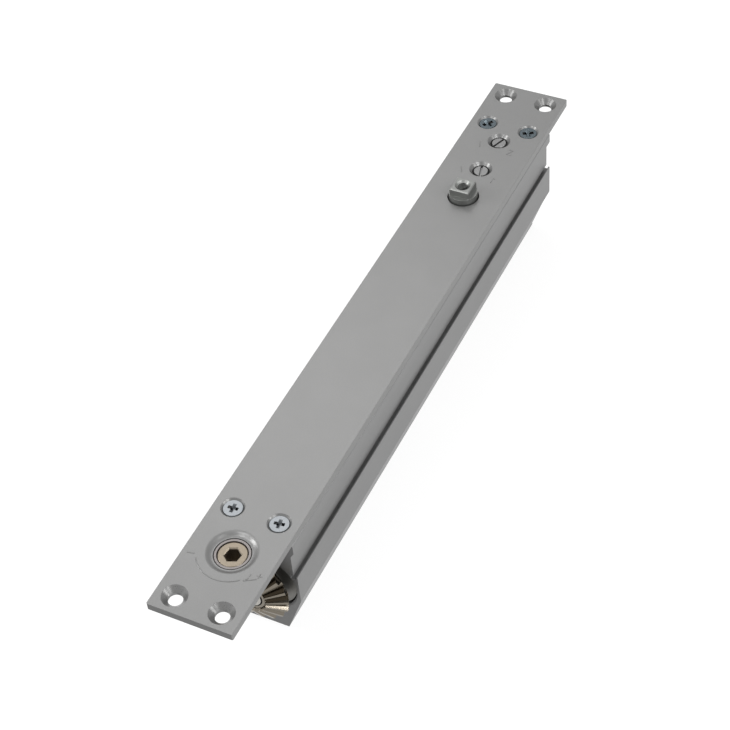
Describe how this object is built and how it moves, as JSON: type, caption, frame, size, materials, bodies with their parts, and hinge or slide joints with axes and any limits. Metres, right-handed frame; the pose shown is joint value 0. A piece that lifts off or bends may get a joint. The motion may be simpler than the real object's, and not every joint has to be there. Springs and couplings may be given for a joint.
{
  "type": "concealed door closer",
  "caption": "Slim concealed door closer: cover plate over a long body, square cam spindle at one end, hex-driven bevel adjuster at the other.",
  "frame": {"origin": "centre of the four fixing holes, on the outer face of the cover plate", "axes": "+X along the plate towards the spindle end, +Y across the plate, +Z out of the cover plate's outer face"},
  "size_m": [0.291, 0.032, 0.0587],
  "materials": {
    "plate_silver": "satin silver paint with a very fine grain",
    "body_aluminium": "satin silver anodised extrusion",
    "plug_aluminium": "turned aluminium",
    "machined_steel": "machined steel, lightly oiled",
    "spindle_steel": "ground and nickel-plated steel",
    "nickel_steel": "warm nickel-plated steel",
    "bush_steel": "turned bright steel",
    "valve_steel": "turned steel",
    "zinc_screw": "bright zinc plating",
    "blue_zinc_screw": "blue zinc plating",
    "spring_steel": "oil-tempered spring steel",
    "bearing_bronze": "sintered bronze",
    "black_rubber": "black nitrile rubber"
  },
  "bodies": {
    "housing": {"cover_plate": "plate_silver", "closer_body": "body_aluminium", "near_end_plug": "plug_aluminium", "near_plug_seal": "black_rubber", "far_end_plug": "plug_aluminium", "far_plug_seal": "black_rubber", "upper_bearing_cap": "machined_steel", "upper_bearing": "bearing_bronze", "spindle_seal": "black_rubber", "lower_bearing": "bearing_bronze", "adjuster_bush": "bush_steel", "adjuster_snap_ring": "spring_steel", "thrust_washer": "bearing_bronze", "plate_screws_near": "zinc_screw", "plate_screws_far": "blue_zinc_screw", "main_spring": "spring_steel"},
    "spindle": {"cam_spindle": "spindle_steel"},
    "carriage": {"spring_piston": "machined_steel", "damper_piston": "machined_steel", "upper_link_plate": "machined_steel", "lower_link_plate": "machined_steel", "roller_pins": "machined_steel", "piston_seal": "black_rubber", "check_valve_ball": "machined_steel", "check_valve_cage": "bearing_bronze"},
    "spring_side_roller": {"spring_roller": "machined_steel"},
    "damper_side_roller": {"damper_roller": "machined_steel"},
    "adjuster": {"adjuster_pinion": "nickel_steel"},
    "gear_shaft": {"bevel_gear": "nickel_steel", "adjusting_screw": "machined_steel"},
    "nut": {"spring_nut": "machined_steel"},
    "closing_valve_screw": {"closing_valve": "valve_steel", "closing_valve_seal": "black_rubber"},
    "latching_valve_screw": {"latching_valve": "valve_steel", "latching_valve_seal": "black_rubber"}
  },
  "joints": [
    {"name": "spindle_turn", "type": "hinge", "parent": "housing", "child": "spindle", "pos_m": [0.0747, 0, 0], "axis": [0, 0, 1], "range_deg": [0, 120]},
    {"name": "carriage_slide", "type": "slide", "parent": "housing", "child": "carriage", "axis": [-1, 0, 0], "range_m": [0, 0.00533], "stiffness_N_per_m": 500, "springref_m": -0.003, "deforming": ["main_spring"]},
    {"name": "spring_roller_spin", "type": "hinge", "parent": "carriage", "child": "spring_side_roller", "pos_m": [0.0652, 0, -0.0295], "axis": [0, 0, 1], "continuous": true},
    {"name": "damper_roller_spin", "type": "hinge", "parent": "carriage", "child": "damper_side_roller", "pos_m": [0.0922, 0, -0.0295], "axis": [0, 0, 1], "continuous": true},
    {"name": "gear_turn", "type": "hinge", "parent": "housing", "child": "gear_shaft", "pos_m": [-0.1161, 0, -0.0295], "axis": [-1, 0, 0], "range_deg": [0, 2880]},
    {"name": "adjuster_turn", "type": "hinge", "parent": "housing", "child": "adjuster", "pos_m": [-0.1161, 0, 0], "axis": [0, 0, 1], "range_deg": [0, 5761]},
    {"name": "nut_slide", "type": "slide", "parent": "housing", "child": "nut", "axis": [1, 0, 0], "range_m": [0, 0.01201]},
    {"name": "closing_valve_turn", "type": "hinge", "parent": "housing", "child": "closing_valve_screw", "pos_m": [0.0923, 0, 0], "axis": [0, 0, 1], "range_deg": [-180, 540]},
    {"name": "latching_valve_turn", "type": "hinge", "parent": "housing", "child": "latching_valve_screw", "pos_m": [0.1109, 0, 0], "axis": [0, 0, 1], "range_deg": [-180, 540]}
  ],
  "couplings": [
    {"joint": "spindle_turn", "follows": "carriage_slide", "rad_per_m": 392.7},
    {"joint": "adjuster_turn", "follows": "gear_turn", "ratio": 2},
    {"joint": "nut_slide", "follows": "gear_turn", "m_per_rad": 0.00023873}
  ]
}
